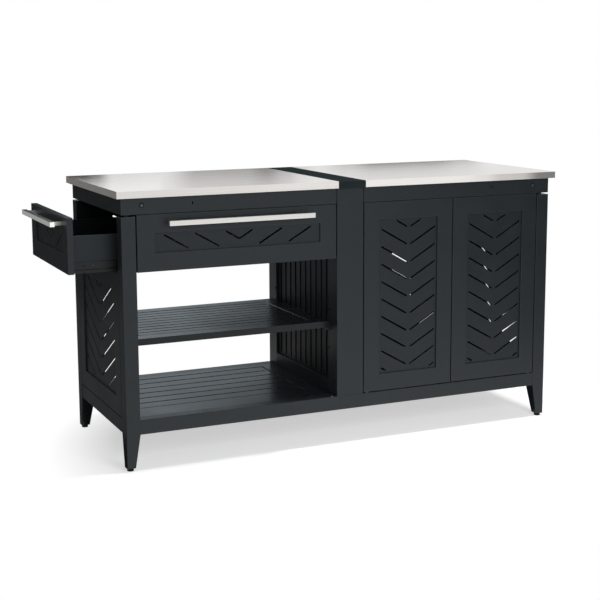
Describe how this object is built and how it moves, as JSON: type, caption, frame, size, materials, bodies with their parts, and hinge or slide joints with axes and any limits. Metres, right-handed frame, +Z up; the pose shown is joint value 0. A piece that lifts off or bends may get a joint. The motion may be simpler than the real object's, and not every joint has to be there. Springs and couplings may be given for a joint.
{
  "type": "outdoor kitchen cabinet",
  "caption": "Outdoor kitchen cabinet with brushed steel counters, an open shelf bay, a cupboard with slotted doors, a front drawer and an end drawer, on tapered legs.",
  "frame": {"origin": "on the floor under the middle of the overall box, with the end drawer partly open as stored", "axes": "+X along the length towards the cupboard end, +Y from the front to the back, +Z up"},
  "size_m": [1.829, 0.653, 0.914],
  "materials": {
    "charcoal_coat": "matte charcoal powder coat on aluminium",
    "charcoal_sheet": "matte charcoal powder coat on slotted sheet",
    "counter_steel": "brushed along the length",
    "handle_steel": "brushed along the bar",
    "slide_steel": "black dip coat on steel",
    "drawer_metal": "matte charcoal powder coat",
    "fitting_steel": "plain stainless",
    "core_board": "plain board",
    "foot_plastic": "matte black moulded",
    "catch_plastic": "matte black moulded"
  },
  "bodies": {
    "carcass": {"front_left_leg": "charcoal_coat", "back_left_leg": "charcoal_coat", "front_right_leg": "charcoal_coat", "back_right_leg": "charcoal_coat", "leg_caps": "charcoal_coat", "levelling_feet": "foot_plastic", "back_bottom_rail": "charcoal_coat", "end_bottom_rails": "charcoal_coat", "centre_bottom_rail": "charcoal_coat", "front_centre_post": "charcoal_coat", "back_centre_post": "charcoal_coat", "partition_rails": "charcoal_coat", "partition_slotted_panel": "charcoal_sheet", "partition_liner": "charcoal_sheet", "back_aprons": "charcoal_coat", "end_aprons": "charcoal_coat", "apron_bolts": "fitting_steel", "left_counter_skin": "counter_steel", "right_counter_skin": "counter_steel", "counter_cores": "core_board", "centre_divider": "charcoal_coat", "left_end_frame": "charcoal_coat", "left_end_panel": "charcoal_sheet", "right_end_frame": "charcoal_coat", "right_end_panel": "charcoal_sheet", "drawer_back_panel": "charcoal_sheet", "cupboard_back_frames": "charcoal_coat", "cupboard_back_panels": "charcoal_sheet", "left_deck_frame": "charcoal_coat", "left_deck_panel": "charcoal_sheet", "right_deck_frame": "charcoal_coat", "right_deck_panel": "charcoal_sheet", "shelf_frame": "charcoal_coat", "shelf_panel": "charcoal_sheet", "shelf_pins": "fitting_steel", "drawer_divider": "charcoal_coat", "end_slide_supports": "charcoal_coat", "slide_channels": "slide_steel", "door_pivot_pins": "fitting_steel", "door_catches": "catch_plastic", "front_bottom_rail": "charcoal_coat", "front_aprons": "charcoal_coat"},
    "end_drawer": {"end_drawer_front": "charcoal_coat", "end_drawer_panel": "charcoal_sheet", "end_drawer_walls": "drawer_metal", "end_drawer_floor": "drawer_metal", "end_drawer_runners": "slide_steel", "end_drawer_handle": "handle_steel"},
    "front_drawer": {"front_drawer_front": "charcoal_coat", "front_drawer_panel": "charcoal_sheet", "front_drawer_walls": "drawer_metal", "front_drawer_floor": "drawer_metal", "front_drawer_runners": "slide_steel", "front_drawer_handle": "handle_steel"},
    "left_door": {"left_door_frame": "charcoal_coat", "left_door_panel": "charcoal_sheet", "left_door_strike": "fitting_steel"},
    "right_door": {"right_door_frame": "charcoal_coat", "right_door_panel": "charcoal_sheet", "right_door_strike": "fitting_steel"}
  },
  "joints": [
    {"name": "end_drawer_slide", "type": "slide", "parent": "carcass", "child": "end_drawer", "axis": [-1, 0, 0], "range_m": [-0.16, 0.085]},
    {"name": "front_drawer_slide", "type": "slide", "parent": "carcass", "child": "front_drawer", "axis": [0, -1, 0], "range_m": [0, 0.35]},
    {"name": "left_door_hinge", "type": "hinge", "parent": "carcass", "child": "left_door", "pos_m": [0.1615, -0.2755, 0.501], "axis": [0, 0, -1], "range_deg": [0, 100]},
    {"name": "right_door_hinge", "type": "hinge", "parent": "carcass", "child": "right_door", "pos_m": [0.8305, -0.2755, 0.501], "axis": [0, 0, 1], "range_deg": [0, 100]}
  ]
}
